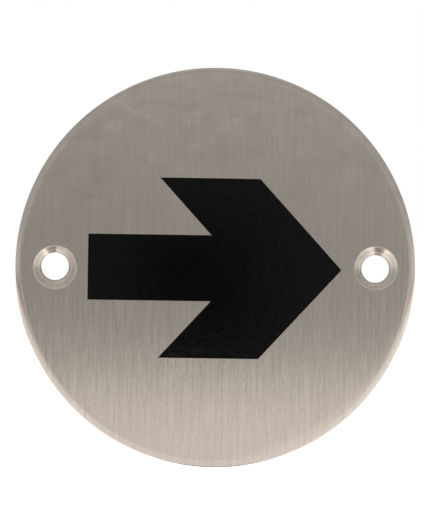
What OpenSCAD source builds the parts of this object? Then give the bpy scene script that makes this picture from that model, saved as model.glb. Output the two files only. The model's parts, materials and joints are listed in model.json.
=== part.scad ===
// Round direction sign: a brushed steel disc with two countersunk screw holes and a black arrow.
// The arrow is etched into the face and filled with enamel.
//
// The origin is the centre of the back face, where the disc meets the wall.
// +Z is up, the face looks towards -Y, and the arrow points to +X. Sizes are in millimetres.

/* [Disc] */
// Diameter of the disc
plate_d = 75; // [60:0.5:150]
// Thickness of the sheet that the disc is blanked from
plate_t = 1.5; // [1:0.1:3]
// Width of the rounded shoulder that blanking leaves round the front edge
shoulder_w = 1.3; // [0.8:0.1:2]
// Drop of the shoulder below the face, measured at the rim
shoulder_drop = 0.45; // [0.1:0.05:0.7]
// Size of the chamfer that takes the burr off the back edge
back_chamfer = 0.15; // [0.05:0.05:0.25]

/* [Screw holes] */
// Distance from the rim to the centre of each hole
hole_inset = 7.4; // [6.5:0.1:12]
// Diameter of the clearance hole for the screw's shank
hole_d = 5.2; // [3:0.1:7]
// Straight wall that the countersink leaves at the back of the hole
hole_land = 0.1; // [0.05:0.05:0.6]
// Angle across the countersink, the same as under the screw's head
sink_angle = 90; // [75:1:110]
// Radius of the lip where the countersink meets the face
lip_r = 0.3; // [0.1:0.05:0.6]

/* [Arrow] */
// Bare steel between each end of the arrow and the countersink next to it
arrow_gap = 2.2; // [1:0.1:6]
// Height of the arrow's shaft
shaft_w = 12.4; // [6:0.1:20]
// Height of the arrow's head from corner to corner
head_span = 33.8; // [22:0.1:44]
// Length of the pointed nose, from the tip back to the head's corners
nose_run = 15.4; // [8:0.1:22]
// Length of the flat top and bottom of the head
barb_len = 18.8; // [8:0.1:22]

/* [Arrow placing] */
// Angle by which the arrow was laid off level, clockwise
arrow_turn = 0.35; // [-5:0.05:5]
// Distance by which the arrow was laid to the right of the disc's centre
arrow_right = -0.1; // [-0.5:0.05:0.5]
// Distance by which the arrow was laid above the line of the holes
arrow_up = -0.15; // [-0.5:0.05:0.5]

/* [Enamel] */
// Depth that the arrow is etched below the face
etch_depth = 0.2; // [0.1:0.05:0.5]
// Distance that the enamel has shrunk below the face in drying
enamel_drop = 0.03; // [0.01:0.01:0.08]

/* [Hidden] */
$fn = 128;

// Overshoot of a cut past the surface that it opens through
cut = 1;

plate_r = plate_d / 2;
// The shoulder is one arc that leaves the face tangentially and ends at the rim
shoulder_r = (shoulder_w * shoulder_w + shoulder_drop * shoulder_drop) / (2 * shoulder_drop);

hole_x = plate_r - hole_inset;
hole_r = hole_d / 2;
sink_half = sink_angle / 2;
// The countersink goes down to the straight wall, which sets its radius at the face
sink_depth = plate_t - hole_land;
sink_r = hole_r + sink_depth * tan(sink_half);
// The lip's arc touches the face and the cone at this distance from the corner between them
lip_run = lip_r * tan((90 - sink_half) / 2);
lip_edge_r = sink_r + lip_run;

// The arrow spans what the two countersinks leave between them
tip_x = hole_x - lip_edge_r - arrow_gap;
head_x = tip_x - nose_run;
barb_x = head_x - barb_len;
// The barbs are cut back parallel to the nose
notch_x = barb_x + nose_run * (head_span - shaft_w) / head_span;

// Stands what is drawn lying on its back up against the wall, with its face to -Y
module stand_up() {
    rotate([90, 0, 0]) children();
}

// Half section of the disc, from its axis to the rim
module disc_section() {
    difference() {
        polygon([
            [0, 0],
            [plate_r - back_chamfer, 0],
            [plate_r, back_chamfer],
            [plate_r, plate_t],
            [0, plate_t]
        ]);
        shoulder_section();
    }
}

// Half section of what the rounded shoulder takes off the front edge
module shoulder_section() {
    translate([plate_r - shoulder_w, plate_t]) difference() {
        translate([0, -shoulder_drop]) square([shoulder_w + cut, shoulder_drop + cut]);
        translate([0, -shoulder_r]) circle(shoulder_r);
    }
}

// Half section of what the drill, the countersink and its lip take out of the sheet
module hole_section() {
    translate([0, -cut]) square([hole_r, plate_t + 2 * cut]);
    polygon([
        [0, hole_land],
        [hole_r, hole_land],
        [sink_r, plate_t],
        [sink_r, plate_t + cut],
        [0, plate_t + cut]
    ]);
    lip_section();
}

// Half section of what the rounded lip takes off the corner between the countersink and the face
module lip_section() {
    difference() {
        polygon([
            [sink_r, plate_t],
            [sink_r - lip_run * sin(sink_half), plate_t - lip_run * cos(sink_half)],
            [lip_edge_r, plate_t]
        ]);
        translate([lip_edge_r, plate_t - lip_r]) circle(lip_r);
    }
}

// Outline of the arrow, centred on its own length
module arrow_outline() {
    polygon([
        [-tip_x, shaft_w / 2],
        [notch_x, shaft_w / 2],
        [barb_x, head_span / 2],
        [head_x, head_span / 2],
        [tip_x, 0],
        [head_x, -head_span / 2],
        [barb_x, -head_span / 2],
        [notch_x, -shaft_w / 2],
        [-tip_x, -shaft_w / 2]
    ]);
}

// The arrow as a slab between two depths below the face, where it was laid
module arrow_slab(bottom, top) {
    translate([arrow_right, arrow_up, plate_t - bottom])
        rotate([0, 0, -arrow_turn])
            linear_extrude(bottom - top) arrow_outline();
}

// Disc blanked from sheet, drilled, countersunk and etched
module sign_plate() {
    color([0.58, 0.55, 0.52])
        stand_up() difference() {
            rotate_extrude() disc_section();
            for (side = [-1, 1])
                translate([side * hole_x, 0, 0]) rotate_extrude() hole_section();
            arrow_slab(etch_depth, -cut);
        }
}

// Black enamel that fills the etched arrow to just under the face
module arrow_enamel() {
    color([0.05, 0.05, 0.06])
        stand_up() arrow_slab(etch_depth, enamel_drop);
}

sign_plate();
arrow_enamel();
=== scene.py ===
"""Dresses a round direction sign: a brushed steel disc with an enamelled arrow, in a plain studio."""
import json
import math

import bmesh
import bpy
from bpy.props import FloatProperty, FloatVectorProperty, IntProperty, PointerProperty
from mathutils import Matrix, Vector


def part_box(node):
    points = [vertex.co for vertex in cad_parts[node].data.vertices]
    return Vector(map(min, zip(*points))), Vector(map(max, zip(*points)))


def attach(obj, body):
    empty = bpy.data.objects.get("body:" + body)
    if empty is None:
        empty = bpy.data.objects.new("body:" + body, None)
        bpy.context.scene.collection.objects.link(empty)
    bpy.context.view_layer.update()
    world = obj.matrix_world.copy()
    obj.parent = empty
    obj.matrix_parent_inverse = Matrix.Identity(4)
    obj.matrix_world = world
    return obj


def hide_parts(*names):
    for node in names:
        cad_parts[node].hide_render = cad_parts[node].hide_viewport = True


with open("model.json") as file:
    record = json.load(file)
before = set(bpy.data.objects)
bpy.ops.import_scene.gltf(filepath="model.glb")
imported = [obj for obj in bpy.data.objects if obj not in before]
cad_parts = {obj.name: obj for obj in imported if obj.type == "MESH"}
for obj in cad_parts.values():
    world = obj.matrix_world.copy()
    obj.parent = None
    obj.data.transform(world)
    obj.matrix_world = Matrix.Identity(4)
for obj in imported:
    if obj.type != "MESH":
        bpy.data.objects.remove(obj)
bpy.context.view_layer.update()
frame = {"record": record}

bl_info = {
    "name": "Round Direction Sign",
    "version": (1, 0, 0),
    "blender": (4, 5, 0),
    "location": "View3D > Sidebar > Sign",
    "description": "Makes a round brushed steel sign with an enamelled arrow",
    "category": "Add Mesh",
}

MM = 0.001
LONG = 1000     # millimetres, so long that noise doesn't change along the sign
WHITE = (1.0, 1.0, 1.0, 1.0)
PLATE_LOW, PLATE_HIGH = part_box("sign_plate")
ENAMEL_LOW, ENAMEL_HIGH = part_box("arrow_enamel")
MOUNTS = {mount["name"]: mount for mount in frame["record"]["mounts"]}
HOLES = MOUNTS["screw_holes"]["dims"]

FACE, TURNED, EDGE, BACK, ETCHED = range(5)
GRAIN = "grain"


class SignSizes(bpy.types.PropertyGroup):
    """Sizes of the sign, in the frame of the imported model."""

    diameter: FloatProperty(
        name="Diameter", description="Diameter of the disc",
        default=2 * PLATE_HIGH.z, unit="LENGTH")
    thickness: FloatProperty(
        name="Thickness", description="Thickness of the sheet",
        default=PLATE_HIGH.y - PLATE_LOW.y, unit="LENGTH")
    shoulder_width: FloatProperty(
        name="Shoulder Width", description="Width of the rounded shoulder round the front edge",
        default=1.3 * MM, unit="LENGTH")
    shoulder_drop: FloatProperty(
        name="Shoulder Drop", description="Drop of the shoulder below the face, at the rim",
        default=0.45 * MM, unit="LENGTH")
    corner_radius: FloatProperty(
        name="Corner Radius", description="Radius of the corner between the shoulder and the rim",
        default=0.06 * MM, unit="LENGTH")
    torn_height: FloatProperty(
        name="Torn Height", description="Height of the rough part of the rim, above the back",
        default=0.55 * MM, unit="LENGTH")
    torn_taper: FloatProperty(
        name="Torn Taper", description="Distance that the rough part of the rim leans in",
        default=0.03 * MM, unit="LENGTH")
    back_chamfer: FloatProperty(
        name="Back Chamfer", description="Chamfer round the back edge",
        default=0.15 * MM, unit="LENGTH")
    hole_spacing: FloatProperty(
        name="Hole Spacing", description="Distance between the centres of the screw holes",
        default=HOLES["spacing_x_mm"] * MM, unit="LENGTH")
    hole_radius: FloatProperty(
        name="Hole Radius", description="Radius of the screw holes",
        default=HOLES["hole_r_mm"] * MM, unit="LENGTH")
    hole_land: FloatProperty(
        name="Hole Land", description="Straight wall that the countersink leaves at the back",
        default=MOUNTS["left_screw_hole"]["dims"]["length_mm"] * MM, unit="LENGTH")
    sink_angle: FloatProperty(
        name="Countersink Angle", description="Angle across the countersink",
        default=math.radians(90), subtype="ANGLE")
    lip_radius: FloatProperty(
        name="Lip Radius", description="Radius of the lip round the countersink",
        default=0.3 * MM, unit="LENGTH")
    sink_rings: IntProperty(
        name="Countersink Rings", description="Rings that the countersink left on its cone", default=6)
    ring_depth: FloatProperty(
        name="Ring Depth", description="Depth of each of those rings",
        default=0.004 * MM, unit="LENGTH")
    chatter: FloatProperty(
        name="Chatter", description="Unevenness that the countersink left on its cone",
        default=0.012 * MM, unit="LENGTH")
    left_lean: FloatVectorProperty(
        name="Left Lean",
        description="Distance that the left countersink runs off its hole, right and up",
        default=(0.08 * MM, -0.23 * MM), size=2, unit="LENGTH")
    right_lean: FloatVectorProperty(
        name="Right Lean",
        description="Distance that the right countersink runs off its hole, right and up",
        default=(0.07 * MM, 0.1 * MM), size=2, unit="LENGTH")
    arrow_gap: FloatProperty(
        name="Arrow Gap", description="Bare steel between the arrow and each countersink",
        default=2.2 * MM, unit="LENGTH")
    shaft_width: FloatProperty(
        name="Shaft Width", description="Height of the arrow's shaft",
        default=12.4 * MM, unit="LENGTH")
    head_span: FloatProperty(
        name="Head Span", description="Height of the arrow's head",
        default=33.8 * MM, unit="LENGTH")
    nose_run: FloatProperty(
        name="Nose Run", description="Length of the arrow's pointed nose",
        default=15.4 * MM, unit="LENGTH")
    barb_length: FloatProperty(
        name="Barb Length", description="Length of the flat top and bottom of the head",
        default=18.8 * MM, unit="LENGTH")
    arrow_turn: FloatProperty(
        name="Arrow Turn", description="Angle by which the arrow was laid off level, clockwise",
        default=math.radians(0.35), subtype="ANGLE")
    arrow_shift: FloatVectorProperty(
        name="Arrow Shift", description="Distance by which the arrow was laid off centre, right and up",
        default=(-0.1 * MM, -0.15 * MM), size=2, unit="LENGTH")
    etch_depth: FloatProperty(
        name="Etch Depth", description="Depth that the arrow is etched below the face",
        default=ENAMEL_HIGH.y - PLATE_LOW.y, unit="LENGTH")
    enamel_drop: FloatProperty(
        name="Enamel Drop", description="Distance that the enamel lies below the face",
        default=ENAMEL_LOW.y - PLATE_LOW.y, unit="LENGTH")
    meniscus: FloatProperty(
        name="Meniscus", description="Width over which the enamel climbs the etched wall",
        default=0.35 * MM, unit="LENGTH")


class SignColours(bpy.types.PropertyGroup):
    """Colours of the sign."""

    steel: FloatVectorProperty(
        name="Steel", description="Colour that the steel reflects",
        default=(0.57, 0.525, 0.48), size=3, subtype="COLOR")
    enamel: FloatVectorProperty(
        name="Enamel", description="Colour of the arrow",
        default=(0.0032, 0.0031, 0.0032), size=3, subtype="COLOR")


class StudioSettings(bpy.types.PropertyGroup):
    """The camera, the floor and the light."""

    distance: FloatProperty(
        name="Camera Distance", description="Distance from the sign's rim to the camera",
        default=0.4973, unit="LENGTH")
    focal_length: FloatProperty(
        name="Focal Length", description="Focal length of the camera in millimetres", default=180.0)
    framing: FloatVectorProperty(
        name="Framing", description="Where the sign's centre lies in the frame, right and up",
        default=(0.597 * MM, -0.485 * MM), size=2, unit="LENGTH")
    roll: FloatProperty(
        name="Camera Roll", description="Angle by which the camera is tipped over",
        default=math.radians(0.5), subtype="ANGLE")
    floor_drop: FloatProperty(
        name="Floor Drop", description="Distance from the sign's centre down to the floor",
        default=0.2, unit="LENGTH")
    floor_front: FloatProperty(
        name="Floor Front", description="Distance from the sign to the front end of the floor",
        default=4.15, unit="LENGTH")


class Nodes:
    """A node tree that is put together with short calls."""

    def __init__(self, tree):
        self.tree = tree

    def add(self, kind, inputs=None, **settings):
        """Adds a node, sets its own settings, and fills or links its inputs."""
        node = self.tree.nodes.new(kind)
        for name, value in settings.items():
            setattr(node, name, value)
        for key, value in (inputs or {}).items():
            self.feed(value, node.inputs[key])
        return node

    def make(self, kind, inputs=None, **settings):
        """Adds a node and returns its first output."""
        return self.add(kind, inputs, **settings).outputs[0]

    def feed(self, value, socket):
        """Links the value if it is a socket, and otherwise writes it into the input."""
        if isinstance(value, bpy.types.NodeSocket):
            self.tree.links.new(value, socket)
        else:
            socket.default_value = value

    def calc(self, operation, *values):
        """Works out one sum."""
        return self.make("ShaderNodeMath", dict(enumerate(values)), operation=operation)

    def chain(self, operation, values):
        """Works one kind of sum along any number of values."""
        result = values[0]
        for value in values[1:]:
            result = self.calc(operation, result, value)
        return result

    def total(self, *values):
        """Adds up any number of values."""
        return self.chain("ADD", values)

    def product(self, *values):
        """Multiplies any number of values."""
        return self.chain("MULTIPLY", values)

    def less(self, value, taken):
        """Takes the second value from the first."""
        return self.calc("SUBTRACT", value, taken)

    def off(self, value, middle=0.0):
        """How far a value lies off a middle one."""
        return self.calc("ABSOLUTE", self.less(value, middle))

    def vector_calc(self, operation, *vectors, output="Vector"):
        """Works out one sum on vectors."""
        inputs = dict(enumerate(vectors))
        return self.add("ShaderNodeVectorMath", inputs, operation=operation).outputs[output]

    def distance(self, start, end):
        """The distance between two places."""
        return self.vector_calc("DISTANCE", start, end, output="Value")

    def length(self, vector):
        """The length of a vector."""
        return self.vector_calc("LENGTH", vector, output="Value")

    def scaled(self, vector, by):
        """Makes a vector longer or shorter."""
        inputs = {0: vector, "Scale": by}
        return self.make("ShaderNodeVectorMath", inputs, operation="SCALE")

    def axes(self, vector):
        """Splits a vector into its X, Y and Z."""
        return self.add("ShaderNodeSeparateXYZ", {0: vector}).outputs

    def vector(self, x=0.0, y=0.0, z=0.0):
        """Makes a vector of three numbers."""
        return self.make("ShaderNodeCombineXYZ", {"X": x, "Y": y, "Z": z})

    def ramp(self, value, low, high, to_low=0.0, to_high=1.0):
        """Takes low to to_low and high to to_high, smoothly, and holds them beyond."""
        inputs = {"Value": value, "From Min": low, "From Max": high, "To Min": to_low, "To Max": to_high}
        node = self.add("ShaderNodeMapRange", inputs, interpolation_type="SMOOTHSTEP")
        return node.outputs["Result"]


def own_nodes(material_or_world):
    """Clears the node tree of a material or world and returns it ready to fill."""
    material_or_world.use_nodes = True
    material_or_world.node_tree.nodes.clear()
    return Nodes(material_or_world.node_tree)


class Section(Nodes):
    """A Geometry Nodes tree that draws half sections as radius and height, and turns them."""

    def line(self, start, end):
        """Draws a straight stretch of a section."""
        inputs = {"Start": self.vector(*start), "End": self.vector(*end)}
        return self.make("GeometryNodeCurvePrimitiveLine", inputs, mode="POINTS")

    def arc(self, centre, radius, start, sweep, points=9):
        """Draws a round stretch of a section, with its angles counted from the radius axis."""
        inputs = {"Resolution": points, "Radius": radius, "Start Angle": start, "Sweep Angle": sweep}
        arc = self.make("GeometryNodeCurveArc", inputs, mode="RADIUS")
        return self.move(arc, self.vector(*centre))

    def circle(self, radius, points, centre=None):
        """Draws a circle that faces up."""
        inputs = {"Resolution": points, "Radius": radius}
        circle = self.make("GeometryNodeCurvePrimitiveCircle", inputs, mode="RADIUS")
        return circle if centre is None else self.move(circle, centre)

    def move(self, geometry, by):
        """Moves a geometry."""
        inputs = {"Geometry": geometry, "Translation": by}
        return self.make("GeometryNodeTransform", inputs)

    def shift(self, geometry, offset):
        """Moves each point of a geometry by its own offset."""
        inputs = {"Geometry": geometry, "Offset": offset}
        return self.make("GeometryNodeSetPosition", inputs)

    def join(self, *geometries):
        """Joins geometries into one."""
        node = self.add("GeometryNodeJoinGeometry")
        for geometry in geometries:
            self.tree.links.new(geometry, node.inputs[0])
        return node.outputs[0]

    def fill(self, outlines, height):
        """Fills the outlines, less those inside them, and lifts the sheet to its height."""
        sheet = self.make("GeometryNodeFillCurve", {"Curve": outlines}, mode="TRIANGLES")
        return self.move(sheet, self.vector(z=height))

    def turn(self, section, sides):
        """Turns a section round the upright axis."""
        inputs = {"Section": section, "Sides": sides}
        group = bpy.data.node_groups["Turned Section"]
        return self.make("GeometryNodeGroup", inputs, node_tree=group)

    def finish(self, geometry, index):
        """Notes which finish the faces get."""
        inputs = {"Geometry": geometry, "Name": "finish", "Value": index}
        settings = {"data_type": "INT", "domain": "FACE"}
        return self.make("GeometryNodeStoreNamedAttribute", inputs, **settings)


def make_turned_section_group():
    """The group that turns a half section round the upright axis."""
    tree = bpy.data.node_groups.new("Turned Section", "GeometryNodeTree")
    tree.interface.new_socket(name="Section", in_out="INPUT", socket_type="NodeSocketGeometry")
    tree.interface.new_socket(name="Sides", in_out="INPUT", socket_type="NodeSocketInt")
    tree.interface.new_socket(name="Surface", in_out="OUTPUT", socket_type="NodeSocketGeometry")
    nodes = Nodes(tree)
    given = nodes.add("NodeGroupInput").outputs
    guide_radius = 10 * MM
    drawn = nodes.axes(nodes.make("GeometryNodeInputPosition"))
    across = nodes.less(drawn["X"], guide_radius)
    down = nodes.product(drawn["Y"], -1.0)
    inputs = {"Geometry": given["Section"], "Position": nodes.vector(across, down)}
    section = nodes.make("GeometryNodeSetPosition", inputs)
    inputs = {"Resolution": given["Sides"], "Radius": guide_radius}
    guide = nodes.make("GeometryNodeCurvePrimitiveCircle", inputs, mode="RADIUS")
    surface = nodes.make("GeometryNodeCurveToMesh", {"Curve": guide, "Profile Curve": section})
    nodes.add("NodeGroupOutput", {0: surface})


def countersink(sizes):
    """Radius at which the cone would meet the face, and the run of the lip along the face."""
    half = sizes.sink_angle / 2
    sink = sizes.hole_radius + (sizes.thickness - sizes.hole_land) * math.tan(half)
    return sink, sizes.lip_radius * math.tan((math.pi / 2 - half) / 2)


def disc_inputs(sizes):
    """The named sizes that the disc's tree takes, worked out from the sign's sizes."""
    rim = sizes.diameter / 2
    width, drop, corner = sizes.shoulder_width, sizes.shoulder_drop, sizes.corner_radius
    shoulder = (width ** 2 + drop ** 2) / (2 * drop)
    shoulder_sweep = math.asin((width - corner) / (shoulder - corner))
    half = sizes.sink_angle / 2
    sink, lip_run = countersink(sizes)
    return {
        "Thickness": sizes.thickness,
        "Rim Radius": rim,
        "Face Radius": rim - width,
        "Shoulder Radius": shoulder,
        "Shoulder Sweep": shoulder_sweep,
        "Corner Radius": corner,
        "Corner Height": sizes.thickness - shoulder + (shoulder - corner) * math.cos(shoulder_sweep),
        "Torn Height": sizes.torn_height,
        "Torn Taper": sizes.torn_taper,
        "Back Chamfer": sizes.back_chamfer,
        "Hole Offset": sizes.hole_spacing / 2,
        "Hole Radius": sizes.hole_radius,
        "Hole Land": sizes.hole_land,
        "Cone Half Angle": half,
        "Cone Radius": sink - lip_run * math.sin(half),
        "Cone Height": sizes.thickness - lip_run * math.cos(half),
        "Lip Radius": sizes.lip_radius,
        "Lip Edge Radius": sink + lip_run,
        "Ring Depth": sizes.ring_depth,
        "Chatter": sizes.chatter,
        "Etch Depth": sizes.etch_depth,
    }


def arrow_points(sizes):
    """Corners of the arrow on the face, as right and up, where it was laid."""
    sink, lip_run = countersink(sizes)
    tip = sizes.hole_spacing / 2 - sink - lip_run - sizes.arrow_gap
    head = tip - sizes.nose_run
    barb = head - sizes.barb_length
    notch = barb + sizes.nose_run * (sizes.head_span - sizes.shaft_width) / sizes.head_span
    shaft, span = sizes.shaft_width / 2, sizes.head_span / 2
    upper = [(-tip, shaft), (notch, shaft), (barb, span), (head, span)]
    lower = [(x, -y) for x, y in reversed(upper)]
    laid = Matrix.Rotation(-sizes.arrow_turn, 2)
    return [laid @ Vector(point) + Vector(sizes.arrow_shift) for point in [*upper, (tip, 0.0), *lower]]


def arrow_outline(nodes, points):
    """Draws the arrow's outline through its corners."""
    corner = nodes.make("GeometryNodeInputIndex")
    places = nodes.add("GeometryNodeIndexSwitch", data_type="VECTOR")
    while len(places.index_switch_items) < len(points):
        places.index_switch_items.new()
    nodes.feed(corner, places.inputs["Index"])
    for number, point in enumerate(points):
        places.inputs[str(number)].default_value = (*point, 0.0)
    line = nodes.make("GeometryNodeMeshLine", {"Count": len(points)})
    inputs = {"Geometry": line, "Position": places.outputs[0]}
    corners = nodes.make("GeometryNodeSetPosition", inputs)
    path = nodes.make("GeometryNodeMeshToCurve", {"Mesh": corners})
    inputs = {"Geometry": path, "Cyclic": True}
    return nodes.make("GeometryNodeSetSplineCyclic", inputs)


def rim_section(nodes, size, hem):
    """Draws the disc's edge, from the flat face round to the flat back."""
    top, rim, chamfer = size["Thickness"], size["Rim Radius"], size["Back Chamfer"]
    corner_height, torn_height = size["Corner Height"], size["Torn Height"]
    quarter = math.pi / 2
    shoulder_centre = (size["Face Radius"], nodes.less(top, size["Shoulder Radius"]))
    shoulder_sweep = nodes.product(size["Shoulder Sweep"], -1.0)
    corner_centre = (nodes.less(rim, size["Corner Radius"]), corner_height)
    corner_start = nodes.less(quarter, size["Shoulder Sweep"])
    corner_sweep = nodes.product(corner_start, -1.0)
    torn_edge = nodes.less(rim, size["Torn Taper"])
    back_edge = nodes.less(rim, chamfer)
    face = nodes.join(
        nodes.line((hem, top), (size["Face Radius"], top)),
        nodes.arc(shoulder_centre, size["Shoulder Radius"], quarter, shoulder_sweep, points=25))
    edge = nodes.join(
        nodes.arc(corner_centre, size["Corner Radius"], corner_start, corner_sweep),
        nodes.line((rim, corner_height), (rim, torn_height)),
        nodes.line((rim, torn_height), (torn_edge, chamfer)),
        nodes.line((torn_edge, chamfer), (back_edge, 0.0)))
    return face, edge


def screw_hole(nodes, size, sides, hem, rings, lean):
    """Makes the wall of a screw hole round the origin: land, cone with turned rings, lip and brim."""
    top, bore, land_height = size["Thickness"], size["Hole Radius"], size["Hole Land"]
    lip_edge, half = size["Lip Edge Radius"], size["Cone Half Angle"]
    cone = nodes.line((bore, land_height), (size["Cone Radius"], size["Cone Height"]))
    points_per_ring = 10
    inputs = {"Curve": cone, "Count": rings * points_per_ring + 1}
    cone = nodes.make("GeometryNodeResampleCurve", inputs, mode="COUNT")
    along = nodes.add("GeometryNodeSplineParameter").outputs["Factor"]
    wave = nodes.calc("COSINE", nodes.product(along, rings * math.tau))
    sunk = nodes.product(nodes.less(1.0, wave), nodes.product(size["Ring Depth"], 0.5))
    out = nodes.product(sunk, nodes.calc("COSINE", half))
    down = nodes.product(sunk, nodes.product(nodes.calc("SINE", half), -1.0))
    cone = nodes.turn(nodes.shift(cone, nodes.vector(out, down)), sides)

    land = nodes.turn(nodes.line((bore, 0.0), (bore, land_height)), sides)
    quarter = math.pi / 2
    lip_centre = (lip_edge, nodes.less(top, size["Lip Radius"]))
    lip = nodes.arc(lip_centre, size["Lip Radius"], quarter, nodes.less(quarter, half), points=7)
    lip = nodes.turn(lip, sides)
    brim = nodes.turn(nodes.line((lip_edge, top), (hem, top)), sides)

    position = nodes.make("GeometryNodeInputPosition")
    up_the_cone = nodes.ramp(nodes.axes(position)["Z"], 0.0, top)
    middle = nodes.calc("SINE", nodes.product(up_the_cone, math.pi))
    blob = 1.1 * MM
    inputs = {"Vector": position, "Scale": 1 / blob, "Detail": 3.0}
    uneven = nodes.less(nodes.add("ShaderNodeTexNoise", inputs).outputs["Fac"], 0.5)
    shake = nodes.product(uneven, middle, size["Chatter"])
    cone = nodes.shift(cone, nodes.vector(z=shake))

    wall = nodes.join(nodes.finish(nodes.join(land, cone, lip), TURNED), nodes.finish(brim, FACE))
    radius = nodes.length(nodes.vector_calc("MULTIPLY", position, (1.0, 1.0, 0.0)))
    inputs = {"Value": radius, "From Min": bore, "From Max": lip_edge}
    share = nodes.add("ShaderNodeMapRange", inputs).outputs["Result"]
    return nodes.shift(wall, nodes.scaled(nodes.vector(*lean), share))


def build_disc_tree(sizes, given_sizes, materials):
    """The tree of the steel disc: edge, face, screw holes, etched arrow and back."""
    tree = bpy.data.node_groups.new("Sign Disc", "GeometryNodeTree")
    for name in given_sizes:
        socket = tree.interface.new_socket(name=name, in_out="INPUT", socket_type="NodeSocketFloat")
        socket.default_value = given_sizes[name]
    tree.interface.new_socket(name="Disc", in_out="OUTPUT", socket_type="NodeSocketGeometry")
    nodes = Section(tree)
    size = nodes.add("NodeGroupInput").outputs
    rim_sides, hole_sides, hem_width = 256, 144, 0.04 * MM

    face_hem = nodes.less(size["Face Radius"], hem_width)
    hole_hem = nodes.total(size["Lip Edge Radius"], hem_width)
    shoulder, edge = rim_section(nodes, size, face_hem)
    parts = [
        nodes.finish(nodes.turn(shoulder, rim_sides), FACE),
        nodes.finish(nodes.turn(edge, rim_sides), EDGE),
    ]

    outline = arrow_outline(nodes, arrow_points(sizes))
    face_outlines = [nodes.circle(face_hem, rim_sides), outline]
    back_radius = nodes.less(size["Rim Radius"], size["Back Chamfer"])
    back_outlines = [nodes.circle(back_radius, rim_sides)]
    for side, lean in ((-1.0, sizes.left_lean), (1.0, sizes.right_lean)):
        across = nodes.product(size["Hole Offset"], side)
        wall = screw_hole(nodes, size, hole_sides, hole_hem, sizes.sink_rings, lean)
        parts.append(nodes.move(wall, nodes.vector(across)))
        leaned = nodes.vector(nodes.total(across, lean[0]), lean[1])
        face_outlines.append(nodes.circle(hole_hem, hole_sides, leaned))
        back_outlines.append(nodes.circle(size["Hole Radius"], hole_sides, nodes.vector(across)))
    parts.append(nodes.finish(nodes.fill(nodes.join(*face_outlines), size["Thickness"]), FACE))
    parts.append(nodes.finish(nodes.fill(nodes.join(*back_outlines), 0.0), BACK))

    etched_floor = nodes.fill(outline, nodes.less(size["Thickness"], size["Etch Depth"]))
    inputs = {"Curve": nodes.move(outline, nodes.vector(z=size["Thickness"]))}
    brink = nodes.make("GeometryNodeCurveToMesh", inputs)
    deeper = nodes.vector(z=nodes.product(size["Etch Depth"], -1.0))
    inputs = {"Mesh": brink, "Offset": deeper}
    etched_wall = nodes.add("GeometryNodeExtrudeMesh", inputs, mode="EDGES").outputs["Mesh"]
    parts.append(nodes.finish(nodes.join(etched_floor, etched_wall), ETCHED))

    inputs = {"Geometry": nodes.join(*parts), "Distance": 0.001 * MM}
    disc = nodes.make("GeometryNodeMergeByDistance", inputs)
    upright = (math.pi / 2, 0.0, 0.0)
    disc = nodes.make("GeometryNodeTransform", {"Geometry": disc, "Rotation": upright})
    disc = nodes.make("GeometryNodeRealizeInstances", {"Geometry": disc})
    inputs = {"Name": "finish"}
    noted = nodes.make("GeometryNodeInputNamedAttribute", inputs, data_type="INT")
    for index, material in enumerate(materials):
        chosen = nodes.calc("COMPARE", noted, float(index), 0.5)
        inputs = {"Geometry": disc, "Selection": chosen, "Material": material}
        disc = nodes.make("GeometryNodeSetMaterial", inputs)
    nodes.add("NodeGroupOutput", {0: disc})
    return tree


def new_object(name, data):
    """Links a new object that shows a mesh, or holds a camera or lamp."""
    made = bpy.data.objects.new(name, data)
    bpy.context.scene.collection.objects.link(made)
    return made


def grown(name, tree, values):
    """Grows a mesh from a Geometry Nodes tree and returns it as a plain mesh."""
    seed = new_object(name + "_seed", bpy.data.meshes.new(name + "_seed"))
    modifier = seed.modifiers.new("Build", "NODES")
    modifier.node_group = tree
    for item in tree.interface.items_tree:
        if item.in_out == "INPUT":
            modifier[item.identifier] = values[item.name]
    depsgraph = bpy.context.evaluated_depsgraph_get()
    mesh = bpy.data.meshes.new_from_object(seed.evaluated_get(depsgraph))
    mesh.name = name
    if mesh.materials[0] is None:
        mesh.materials.pop(index=0)
    seed.modifiers.clear()
    bpy.data.objects.remove(seed)
    return mesh


def close_up(mesh, sharp_from):
    """Turns the faces outwards and smooths them, apart from the corners."""
    work = bmesh.new()
    work.from_mesh(mesh)
    bmesh.ops.recalc_face_normals(work, faces=work.faces)
    open_edges = sum(1 for edge in work.edges if not edge.is_manifold)
    work.to_mesh(mesh)
    work.free()
    if open_edges:
        raise RuntimeError(f"{mesh.name} has {open_edges} open edges")
    mesh.shade_smooth()
    mesh.set_sharp_from_angle(angle=sharp_from)


def lay_grain(mesh, sizes):
    """Gives the mesh a UV map with U across the tool marks and V along them."""
    grain = mesh.uv_layers.new(name=GRAIN)
    hole_offset = sizes.hole_spacing / 2
    rim = sizes.diameter / 2
    for polygon in mesh.polygons:
        middle = polygon.center
        if polygon.material_index == TURNED:
            axis, reach = math.copysign(hole_offset, middle.x), sizes.hole_radius
        else:
            axis, reach = 0.0, rim
        middle_angle = math.atan2(middle.z, middle.x - axis)
        for corner in polygon.loop_indices:
            point = mesh.vertices[mesh.loops[corner].vertex_index].co
            if polygon.material_index in (TURNED, EDGE):
                angle = math.atan2(point.z, point.x - axis) - middle_angle
                angle = middle_angle + (angle + math.pi) % math.tau - math.pi
                slant = math.hypot(point.x - axis, point.z) - point.y
                across, along = slant, angle * reach
                if polygon.material_index == EDGE:
                    across, along = along, point.y
            else:
                across, along = point.x, point.z
            grain.data[corner].uv = (0.5 + across / sizes.diameter, 0.5 + along / sizes.diameter)


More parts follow.
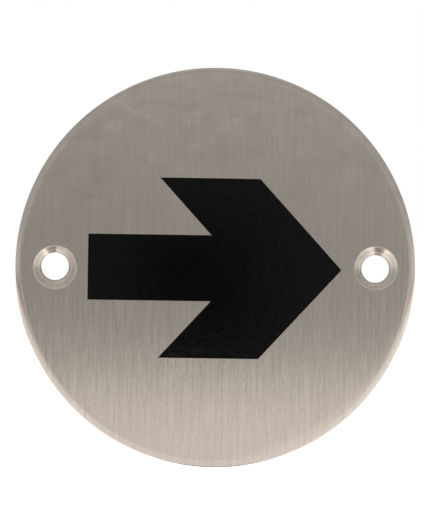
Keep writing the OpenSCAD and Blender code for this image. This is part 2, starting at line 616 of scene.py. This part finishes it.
def noise(nodes, place, size, detail=2.0, roughness=0.5):
    """Makes noise about 0, with blobs of the given size in millimetres along X, Y and Z."""
    scale = tuple(1 / (length * MM) for length in size)
    stretched = nodes.make("ShaderNodeMapping", {"Vector": place, "Scale": scale})
    inputs = {"Vector": stretched, "Scale": 1.0, "Detail": detail, "Roughness": roughness}
    return nodes.less(nodes.add("ShaderNodeTexNoise", inputs).outputs["Fac"], 0.5)


def tint(nodes, shader, colour, *changes):
    """Makes the colour of a shader lighter or darker by a share."""
    lighter = nodes.total(1.0, nodes.total(*changes))
    nodes.feed(nodes.scaled(tuple(colour), lighter), shader.inputs["Base Color"])


def roughen(nodes, shader, *changes):
    """Makes a shader rougher or smoother than it was set."""
    roughness = shader.inputs["Roughness"]
    nodes.feed(nodes.total(roughness.default_value, *changes), roughness)


def bump(nodes, shader, height, strength, depth):
    """Makes the surface under a shader uneven, to a depth in millimetres."""
    inputs = {"Height": height, "Strength": strength, "Distance": depth * MM}
    nodes.feed(nodes.make("ShaderNodeBump", inputs), shader.inputs["Normal"])


def object_place(nodes):
    """The place of a point on its piece."""
    return nodes.add("ShaderNodeTexCoord").outputs["Object"]


def steel(name, colour, roughness, anisotropic):
    """Starts a steel material: returns it with its nodes, its shader and the place on the piece."""
    material = bpy.data.materials.new(name)
    nodes = own_nodes(material)
    inputs = {"Base Color": (*colour, 1.0), "Roughness": roughness, "Anisotropic": anisotropic}
    shader = nodes.add("ShaderNodeBsdfPrincipled", {"Metallic": 1.0, **inputs})
    tangent = nodes.make("ShaderNodeTangent", direction_type="UV_MAP", uv_map=GRAIN)
    nodes.feed(tangent, shader.inputs["Tangent"])
    nodes.add("ShaderNodeOutputMaterial", {"Surface": shader.outputs[0]})
    return material, nodes, shader, object_place(nodes)


def round_marks(nodes, place, marks):
    """Adds up round marks on the face, each given by its middle, its reach and its shade."""
    shades = []
    for middle, reach, shade in marks:
        away = nodes.distance(place, (middle[0] * MM, 0.0, middle[1] * MM))
        shades.append(nodes.ramp(away, 0.6 * reach * MM, 1.2 * reach * MM, shade, 0.0))
    return nodes.total(*shades)


def line_mark(nodes, place, points, width, shade):
    """Makes a mark along a broken line on the face."""
    marks = []
    for start, end in zip(points, points[1:]):
        start, end = (Vector((x * MM, 0.0, z * MM)) for x, z in (start, end))
        length, course = (end - start).length, (end - start).normalized()
        passed = nodes.vector_calc("SUBTRACT", place, tuple(start))
        along = nodes.vector_calc("DOT_PRODUCT", passed, tuple(course), output="Value")
        along = nodes.calc("MINIMUM", nodes.calc("MAXIMUM", along, 0.0), length)
        away = nodes.distance(passed, nodes.scaled(tuple(course), along))
        marks.append(nodes.ramp(away, 0.0, width * MM, 1.0, 0.0))
    return nodes.product(nodes.chain("MAXIMUM", marks), shade)


def handling_marks(nodes, place):
    """Faint marks on the upper half of the face: dried drops, dark lines, a wiped streak and clouds."""
    spot = nodes.axes(place)
    sway = nodes.product(noise(nodes, place, (5, 5, 5), detail=1.0), 2 * MM)
    swayed_place = nodes.vector(nodes.total(spot["X"], sway), 0.0, nodes.total(spot["Z"], sway))
    worn = nodes.ramp(noise(nodes, place, (1.5, 1.5, 1.5)), -0.15, 0.15, 0.5, 1.3)
    drops = (
        ((-20.2, 26.2), 0.9, 0.08), ((-3.5, 29.0), 0.8, 0.08), ((0.3, 29.0), 0.6, 0.08),
        ((4.3, 27.8), 1.0, 0.08), ((-12.4, 20.1), 0.8, 0.08))
    dark_lines = (
        ((-27.7, 23.8), (-23.0, 24.2), (-17.2, 25.2)),
        ((-29.4, 17.9), (-25.9, 16.6), (-21.5, 16.4)),
        ((-27.5, 14.6), (-23.6, 13.2), (-19.6, 13.8)),
        ((-15.4, 31.2), (-11.2, 30.9), (-4.6, 29.9), (-1.8, 31.8), (4.2, 32.3), (9.5, 31.8),
         (17.9, 28.5)))
    streak = ((-17.3, 30.9), (-14.5, 28.5), (-11.2, 27.4))
    shades = [round_marks(nodes, swayed_place, drops)]
    for dark_line in dark_lines:
        shades.append(line_mark(nodes, swayed_place, dark_line, width=0.8, shade=-0.055))
    shades.append(line_mark(nodes, swayed_place, streak, width=0.9, shade=0.07))
    clouds = noise(nodes, place, (4.5, 6, 3), detail=4.0)
    upper = nodes.ramp(spot["Z"], 5 * MM, 20 * MM, 0.03, 0.28)
    return nodes.total(nodes.product(clouds, upper), nodes.product(nodes.total(*shades), worn))


def brushed_steel(colour):
    """Steel brushed up and down: long fine scratches, each tipped a little its own way."""
    material, nodes, shader, place = steel("brushed_steel", colour, roughness=0.2, anisotropic=1.0)
    hairs = noise(nodes, place, (0.14, LONG, 5))
    nicks = noise(nodes, place, (0.18, LONG, 0.9), detail=1.0)
    strands = noise(nodes, place, (0.6, LONG, 16))
    spot = nodes.axes(place)
    across, height = spot["X"], spot["Z"]
    fine = nodes.total(nodes.product(hairs, 0.55), nodes.product(nicks, 0.4))
    broad = nodes.product(strands, nodes.ramp(height, 15 * MM, -10 * MM, 0.17, 0.29))
    tipped = nodes.product(nodes.total(fine, broad), -0.005)
    level = nodes.vector(0.5, nodes.total(0.5, tipped), 1.0)
    normal = nodes.make("ShaderNodeNormalMap", {"Color": level}, uv_map=GRAIN)
    nodes.feed(normal, shader.inputs["Normal"])
    pressed = nodes.ramp(height, 15 * MM, -25 * MM, 0.32, 0.75)
    radius = nodes.length(nodes.vector(across, height))
    # Painted highlight: a lighter band on the lower right, from the face into the start of the shoulder,
    # that softens the step into the shoulder's reflection.
    painted_rim_highlight = nodes.product(
        nodes.ramp(radius, 34.4 * MM, 36.0 * MM, 0.0, 0.12), nodes.ramp(radius, 36.4 * MM, 36.1 * MM),
        nodes.ramp(across, 2 * MM, 14 * MM), nodes.ramp(height, -2 * MM, -16 * MM))
    # Painted shade: the upper part of the shoulder, next to the corner, is made darker.
    painted_rim_shade = nodes.product(
        nodes.ramp(radius, 36.9 * MM, 37.3 * MM), nodes.ramp(height, 10 * MM, 30 * MM, 0.0, -0.09))
    marks = handling_marks(nodes, place)
    tint(nodes, shader, colour, nodes.product(fine, pressed), broad, painted_rim_highlight, painted_rim_shade, marks)
    roughen(nodes, shader, nodes.product(hairs, 0.03))
    return material


def turned_steel(colour, sizes):
    """Steel cut by a countersink: ringed, with painted shade at the foot of the cone by the drilled hole,
    painted highlights over the cone and on the lip, and patches of painted light and shade.
    """
    material, nodes, shader, place = steel("turned_steel", colour, roughness=0.3, anisotropic=0.8)
    drilled_edge = sizes.hole_radius + sizes.hole_land
    lip_corner = countersink(sizes)[0] + sizes.thickness
    grain = nodes.make("ShaderNodeUVMap", uv_map=GRAIN)
    slant = nodes.product(nodes.less(nodes.axes(grain)["X"], 0.5), sizes.diameter)
    spot = nodes.axes(place)
    lathe_place = nodes.vector(spot["X"], slant, spot["Z"])
    rings = noise(nodes, lathe_place, (30, 0.45, 30), detail=1.0)
    arcs = noise(nodes, lathe_place, (3, 0.35, 3))
    scuffs = noise(nodes, lathe_place, (0.6, 0.15, 0.6))
    marks = nodes.total(nodes.product(rings, 0.5), nodes.product(arcs, 0.7), nodes.product(scuffs, 0.5))
    # Painted shade: darker at the foot of the cone, next to the drilled hole.
    painted_foot_shade = nodes.ramp(slant, drilled_edge + 0.3 * MM, drilled_edge + 0.65 * MM, -0.4, 0.0)
    # Painted highlight: the whole cone is lighter, most towards the hole.
    painted_cone_highlight = nodes.ramp(slant, drilled_edge + 1.0 * MM, drilled_edge + 1.9 * MM, 0.26, 0.1)
    # Painted highlight: the lip round the countersink is lighter.
    painted_lip_highlight = nodes.ramp(slant, lip_corner - 0.25 * MM, lip_corner - 0.1 * MM, 0.0, 0.05)
    dark_ring = nodes.ramp(nodes.off(slant, drilled_edge + 1.5 * MM), 0.0, 0.6 * MM, -0.1, 0.0)
    flat_place = nodes.vector(spot["X"], 0.0, spot["Z"])
    # Painted light and shade: round patches on both countersinks, some lighter and some darker.
    painted_cone_patches = round_marks(nodes, flat_place, (
        ((-29.5, 3.5), 1.3, -0.33), ((-26.8, 1.5), 2.0, -0.17), ((-26.4, 1.3), 1.3, -0.08),
        ((-33.6, 0.3), 2.6, -0.08), ((-32.2, 2.0), 1.2, 0.1),
        ((30.65, 4.45), 1.3, -0.3), ((32.1, 2.8), 1.3, 0.14), ((26.6, 0.3), 2.6, -0.12),
        ((27.3, 3.0), 1.2, -0.08)))
    tint(nodes, shader, colour, marks, painted_foot_shade, dark_ring, painted_cone_highlight, painted_lip_highlight, painted_cone_patches)
    roughen(nodes, shader, nodes.product(scuffs, 0.15))
    return material


def blanked_steel(colour):
    """Steel at the rim: burnished by the die in front, torn and dull behind."""
    material, nodes, shader, place = steel("blanked_steel", colour, roughness=0.3, anisotropic=0.4)
    spot = nodes.axes(place)
    torn = nodes.ramp(spot["Y"], -0.6 * MM, -0.5 * MM)
    # Painted shade: the front of the rim's edge, near the corner, is made darker towards the top.
    painted_corner_shade = nodes.product(
        nodes.ramp(spot["Y"], -0.9 * MM, -1.0 * MM), nodes.ramp(spot["Z"], 10 * MM, 30 * MM, 0.0, -0.2))
    grit = noise(nodes, place, (0.08, 0.16, 0.08), detail=3.0)
    scores = noise(nodes, place, (0.12, 4, 0.12))
    tint(nodes, shader, colour, nodes.product(scores, 0.2), nodes.product(torn, -0.18), painted_corner_shade)
    roughen(nodes, shader, nodes.product(torn, 0.25), nodes.product(scores, 0.2))
    height = nodes.total(nodes.product(grit, torn), nodes.product(scores, 0.3))
    bump(nodes, shader, height, strength=0.6, depth=0.03)
    return material


def mill_steel(colour):
    """Steel as the mill left it, on the back: dull, with faint roller lines and clouds."""
    material, nodes, shader, place = steel("mill_steel", colour, roughness=0.42, anisotropic=0.5)
    lines = noise(nodes, place, (0.5, LONG, 60), detail=3.0, roughness=0.6)
    clouds = noise(nodes, place, (9, 9, 9), detail=3.0)
    tint(nodes, shader, colour, nodes.product(lines, 0.12), nodes.product(clouds, 0.12))
    roughen(nodes, shader, nodes.product(clouds, 0.12))
    return material


def etched_steel(colour):
    """Steel that the acid bit, under the enamel."""
    darker = [share * 0.5 for share in colour]
    material, nodes, shader, place = steel("etched_steel", darker, roughness=0.6, anisotropic=0.0)
    pits = noise(nodes, place, (0.05, 0.05, 0.05))
    roughen(nodes, shader, nodes.product(pits, 0.2))
    return material


def black_enamel(colour):
    """Black enamel that flowed out and dried glossy, with a faint ripple and haze."""
    material = bpy.data.materials.new("black_enamel")
    nodes = own_nodes(material)
    inputs = {"Base Color": (*colour, 1.0), "Roughness": 0.05, "IOR": 1.5, "Specular IOR Level": 0.38}
    shader = nodes.add("ShaderNodeBsdfPrincipled", inputs)
    place = object_place(nodes)
    ripple = noise(nodes, place, (1.4, 1.4, 1.4), roughness=0.6)
    bump(nodes, shader, ripple, strength=1.0, depth=0.009)
    haze = noise(nodes, place, (6, 6, 6))
    roughen(nodes, shader, nodes.product(haze, 0.04))
    nodes.add("ShaderNodeOutputMaterial", {"Surface": shader.outputs[0]})
    return material


class SIGN_OT_disc(bpy.types.Operator):
    """Make the steel disc with its screw holes and etched arrow"""

    bl_idname = "sign.disc"
    bl_label = "Steel Disc"
    bl_options = {"REGISTER", "UNDO"}

    def execute(self, context):
        sizes, colours = context.scene.sign_sizes, context.scene.sign_colours
        materials = (
            brushed_steel(colours.steel),
            turned_steel(colours.steel, sizes),
            blanked_steel(colours.steel),
            mill_steel(colours.steel),
            etched_steel(colours.steel))
        given_sizes = disc_inputs(sizes)
        make_turned_section_group()
        mesh = grown("steel_disc", build_disc_tree(sizes, given_sizes, materials), given_sizes)
        close_up(mesh, sharp_from=math.radians(28))
        lay_grain(mesh, sizes)
        mesh.attributes.remove(mesh.attributes["finish"])
        disc = new_object("steel_disc", mesh)
        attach(disc, "root")
        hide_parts("sign_plate")
        return {"FINISHED"}


def inset(points, distance):
    """Moves each side of an outline that runs clockwise inwards, and returns its new corners."""
    moved = []
    for before, here, after in zip([points[-1], *points], points, [*points[1:], points[0]]):
        into, out = (here - before).normalized(), (after - here).normalized()
        normal_in, normal_out = Vector((into.y, -into.x)), Vector((out.y, -out.x))
        mitre = normal_in + normal_out
        moved.append(here + mitre * (distance / (1 + normal_in.dot(normal_out))))
    return moved


class SIGN_OT_enamel(bpy.types.Operator):
    """Make the black enamel that fills the etched arrow"""

    bl_idname = "sign.enamel"
    bl_label = "Arrow Enamel"
    bl_options = {"REGISTER", "UNDO"}

    def execute(self, context):
        sizes, colours = context.scene.sign_sizes, context.scene.sign_colours
        outline = arrow_points(sizes)
        face, sunk, bottom = -sizes.thickness, sizes.enamel_drop, sizes.etch_depth
        climb = 0.5 * sunk
        work = bmesh.new()

        def ring(distance, depth):
            corners = inset(outline, distance)
            return [work.verts.new((corner.x, face + depth, corner.y)) for corner in corners]

        rings = [ring(0.0, bottom), ring(0.0, sunk - climb)]
        steps = 8
        for step in range(1, steps + 1):
            share = step / steps
            rings.append(ring(share * sizes.meniscus, sunk - climb * (1 - share) ** 2))
        for lower, upper in zip(rings, rings[1:]):
            for here in range(len(outline)):
                after = (here + 1) % len(outline)
                work.faces.new((lower[here], lower[after], upper[after], upper[here]))
        work.faces.new(rings[0])
        work.faces.new(rings[-1])
        bmesh.ops.triangulate(work, faces=[f for f in work.faces if len(f.verts) > 4])
        mesh = bpy.data.meshes.new("enamel_arrow")
        work.to_mesh(mesh)
        work.free()
        close_up(mesh, sharp_from=math.radians(30))
        mesh.materials.append(black_enamel(colours.enamel))
        enamel = new_object("enamel_arrow", mesh)
        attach(enamel, "root")
        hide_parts("arrow_enamel")
        return {"FINISHED"}


def make_camera(sizes, studio):
    """Looks at the sign square on, as the photograph does."""
    camera = bpy.data.cameras.new("camera")
    camera.sensor_width = 36.0
    camera.lens = studio.focal_length
    holder = new_object("camera", camera)
    turned = Matrix.Rotation(math.pi / 2, 4, "X") @ Matrix.Rotation(studio.roll, 4, "Z")
    rim_depth = sizes.shoulder_drop - sizes.thickness
    seen = Vector((-studio.framing[0], -studio.framing[1], studio.distance))
    holder.matrix_world = Matrix.Translation((0.0, rim_depth, 0.0)) @ turned @ Matrix.Translation(seen)
    bpy.context.scene.camera = holder


def lit(nodes, level, fields, patches):
    """Adds soft patches of light to a level: each is the product of ramps along the named fields."""
    for ramps in patches.values():
        shares = [nodes.ramp(fields[name], *ends) for name, *ends in ramps]
        level = nodes.total(level, nodes.product(*shares))
    return level


def ray_kinds(nodes):
    """Tells the camera's own rays, and those that metal or glass sends on."""
    path = nodes.add("ShaderNodeLightPath").outputs
    mirrored = nodes.calc("MAXIMUM", path["Is Glossy Ray"], path["Is Transmission Ray"])
    return path["Is Camera Ray"], mirrored


def make_world():
    """A white background, and a plain room that is dark only round the camera."""
    world = bpy.data.worlds.new("studio")
    bpy.context.scene.world = world
    nodes = own_nodes(world)
    direction = nodes.add("ShaderNodeTexCoord").outputs["Generated"]
    toward = nodes.axes(direction)
    off_lens = nodes.distance(direction, (-0.006, -1.0, -0.006))
    lens = nodes.ramp(off_lens, 0.005, 0.042, 0.06, 0.31)
    camera_shade = nodes.total(lens, nodes.ramp(off_lens, 0.04, 0.16, 0.0, 0.69))
    aside, height = nodes.off(toward["X"]), nodes.off(toward["Z"])
    band = nodes.ramp(toward["X"], -0.3, 0.3, 0.2, 0.3)
    fields = {"X": toward["X"], "Z": toward["Z"], "aside": aside, "height": height}
    walls = lit(nodes, 0.537, fields, {
        "left": (("X", -0.05, -0.2), ("X", -0.5, -0.35), ("height", 0.2, 0.05, 0.0, -0.06)),
        "right": (("X", -0.25, 0.25, 0.0, 0.1), ("height", 0.15, 0.03)),
        "sides": (("aside", 0.35, 0.85, 0.0, 0.26), ("height", band, 0.03, 0.2, 1.0)),
        "far wall": (("Z", 0.005, 0.09), ("Z", 0.22, 0.09), ("aside", 0.3, 0.1, 0.0, 0.155)),
        "overhead": (("Z", 0.4, 1.0, 0.0, -0.09), ("aside", 0.6, 0.2)),
        "ceiling": (("Z", 0.95, 1.0, 0.0, 0.12),),
    })
    room = nodes.product(camera_shade, walls)
    behind = nodes.ramp(toward["Y"], 0.5, 0.9)
    seen, mirrored = ray_kinds(nodes)
    shown = nodes.product(mirrored, behind)
    strength = nodes.total(room, nodes.product(shown, nodes.less(1.0, room)))
    warm_white = (1.0, 0.98, 0.95, 1.0)
    studio_light = nodes.make("ShaderNodeBackground", {"Color": warm_white, "Strength": strength})
    white = nodes.make("ShaderNodeBackground", {"Color": WHITE, "Strength": 1.0})
    mixed = nodes.make("ShaderNodeMixShader", {0: seen, 1: studio_light, 2: white})
    nodes.add("ShaderNodeOutputWorld", {"Surface": mixed})


def flat_sheet(name, low, high, level):
    """Makes a level rectangle that faces up, for the stage."""
    work = bmesh.new()
    corners = [(low[0], low[1]), (high[0], low[1]), (high[0], high[1]), (low[0], high[1])]
    work.faces.new([work.verts.new((x, y, level)) for x, y in corners])
    mesh = bpy.data.meshes.new(name)
    work.to_mesh(mesh)
    work.free()
    sheet = new_object(name, mesh)
    return sheet


def make_floor(studio):
    """A plain pale floor, well below the sign, which also glows in patches of painted light that only
    reflections show.
    """
    reach = 6.0
    low, high = (-reach, -studio.floor_front), (reach, reach)
    floor = flat_sheet("floor", low, high, -studio.floor_drop)
    material = bpy.data.materials.new("floor_white")
    nodes = own_nodes(material)
    diffuse = nodes.make("ShaderNodeBsdfDiffuse", {"Color": (0.9, 0.87, 0.85, 1.0)})
    spot = nodes.axes(object_place(nodes))
    fields = {
        "X": spot["X"],
        "Y": spot["Y"],
        "aside": nodes.off(spot["X"]),
        "away": nodes.length(nodes.vector(spot["X"], spot["Y"])),
        "off patch": nodes.off(spot["X"], 0.15),
        "off middle": nodes.off(spot["X"], 0.05),
    }
    # Painted reflections: the floor glows in soft patches that only glossy and transmission rays see.
    painted_reflection_strength = lit(nodes, 0.27, fields, {
        "far": (("off patch", 0.9, 0.3), ("Y", -2.6, -1.2, 0.245, 0.0)),
        "near": (("Y", -2.6, -2.1), ("Y", -0.35, -0.7), ("aside", 0.35, 0.15, 0.0, 0.09)),
        "ahead": (("aside", 0.1, 0.9, 0.25, 0.0),),
        "middle": (("Y", -0.6, -1.4), ("Y", -3.0, -2.3), ("off middle", 0.15, 0.75, 0.0, -0.33)),
        "right": (("X", -0.2, 0.8), ("Y", -2.5, -0.8, 0.14, 0.15)),
        "right half": (("X", -0.05, 0.15, 0.0, 0.06),),
        "flanks": (("aside", 0.06, 0.25), ("away", 0.8, 0.3, 0.0, 0.17)),
        "wings": (("aside", 0.25, 0.75), ("Y", -1.0, -0.4, 0.0, 0.31)),
        "tips": (("aside", 0.4, 0.7), ("Y", -1.6, -1.2), ("Y", -0.35, -0.6, 0.0, 0.1)),
        "strip": (("aside", 0.048, 0.062), ("Y", -0.06, -0.02, 0.2, 1.7), ("away", 0.065, 0.2, 1.0, 0.0)),
        "left dip": (("Y", -2.4, -2.1), ("Y", -0.5, -0.9), ("X", -0.12, -0.25, 0.0, -0.08)),
        "right dip": (("Y", -2.4, -2.1), ("Y", -0.5, -0.9), ("X", 0.25, 0.35, 0.0, -0.075)),
        "edges": (("Y", -0.3, -0.12, 0.0, 0.12), ("Y", -0.03, -0.08), ("aside", 0.07, 0.12)),
    })
    seen, mirrored = ray_kinds(nodes)
    warm_white = (1.0, 0.95, 0.92, 1.0)
    inputs = {"Color": warm_white, "Strength": nodes.product(mirrored, painted_reflection_strength)}
    painted_reflection_glow = nodes.make("ShaderNodeEmission", inputs)
    seen_glow = nodes.make("ShaderNodeEmission", {"Color": WHITE, "Strength": seen})
    glow = nodes.make("ShaderNodeAddShader", {0: painted_reflection_glow, 1: seen_glow})
    surface = nodes.make("ShaderNodeAddShader", {0: diffuse, 1: glow})
    nodes.add("ShaderNodeOutputMaterial", {"Surface": surface})
    floor.data.materials.append(material)


def make_dark_card(studio):
    """A dark card of painted shade that lies on the floor under the sign, and shows only in reflections,
    standing in for the shade under the sign.
    """
    lift = 0.002
    card = flat_sheet("painted_shade_card", (-0.05, -0.056), (0.055, 0.07), lift - studio.floor_drop)
    card.visible_camera = False
    card.visible_diffuse = False
    card.visible_shadow = False
    material = bpy.data.materials.new("painted_shade_material")
    nodes = own_nodes(material)
    diffuse = nodes.make("ShaderNodeBsdfDiffuse", {"Color": (0.2, 0.19, 0.18, 1.0)})
    nodes.add("ShaderNodeOutputMaterial", {"Surface": diffuse})
    card.data.materials.append(material)


def make_softbox(name, place, size, radiance):
    """A soft lamp that faces the sign."""
    light = bpy.data.lights.new(name, "AREA")
    light.shape = "RECTANGLE"
    light.size, light.size_y = size
    light.energy = radiance * math.pi * size[0] * size[1]
    lamp = new_object(name, light)
    facing = Vector(place).to_track_quat("Z", "Y")
    lamp.matrix_world = Matrix.Translation(place) @ facing.to_matrix().to_4x4()
    lamp.visible_camera = False


class SIGN_OT_studio(bpy.types.Operator):
    """Make the camera, the floor and the light"""

    bl_idname = "sign.studio"
    bl_label = "Studio"
    bl_options = {"REGISTER", "UNDO"}

    def execute(self, context):
        sizes, studio = context.scene.sign_sizes, context.scene.sign_studio
        make_camera(sizes, studio)
        make_world()
        make_floor(studio)
        make_dark_card(studio)
        make_softbox("softbox", place=(0.0, -0.3, 1.5), size=(1.8, 1.4), radiance=0.2)
        context.scene.view_settings.view_transform = "Standard"
        return {"FINISHED"}


class SIGN_PT_panel(bpy.types.Panel):
    """The sign's pieces, sizes and colours"""

    bl_idname = "SIGN_PT_panel"
    bl_label = "Direction Sign"
    bl_space_type = "VIEW_3D"
    bl_region_type = "UI"
    bl_category = "Sign"

    def draw(self, context):
        for operator in OPERATORS:
            self.layout.operator(operator.bl_idname)
        for name in SETTINGS:
            group = getattr(context.scene, name)
            for key in group.bl_rna.properties.keys():
                if key not in ("rna_type", "name"):
                    self.layout.prop(group, key)


SETTINGS = {"sign_sizes": SignSizes, "sign_colours": SignColours, "sign_studio": StudioSettings}
OPERATORS = (SIGN_OT_disc, SIGN_OT_enamel, SIGN_OT_studio)
CLASSES = (*SETTINGS.values(), *OPERATORS, SIGN_PT_panel)


def register():
    for cls in CLASSES:
        bpy.utils.register_class(cls)
    for name, group in SETTINGS.items():
        setattr(bpy.types.Scene, name, PointerProperty(type=group))


def unregister():
    for name in SETTINGS:
        delattr(bpy.types.Scene, name)
    for cls in reversed(CLASSES):
        bpy.utils.unregister_class(cls)


def main():
    register()
    bpy.ops.sign.disc()
    bpy.ops.sign.enamel()
    bpy.ops.sign.studio()


if __name__ == "__main__":
    main()
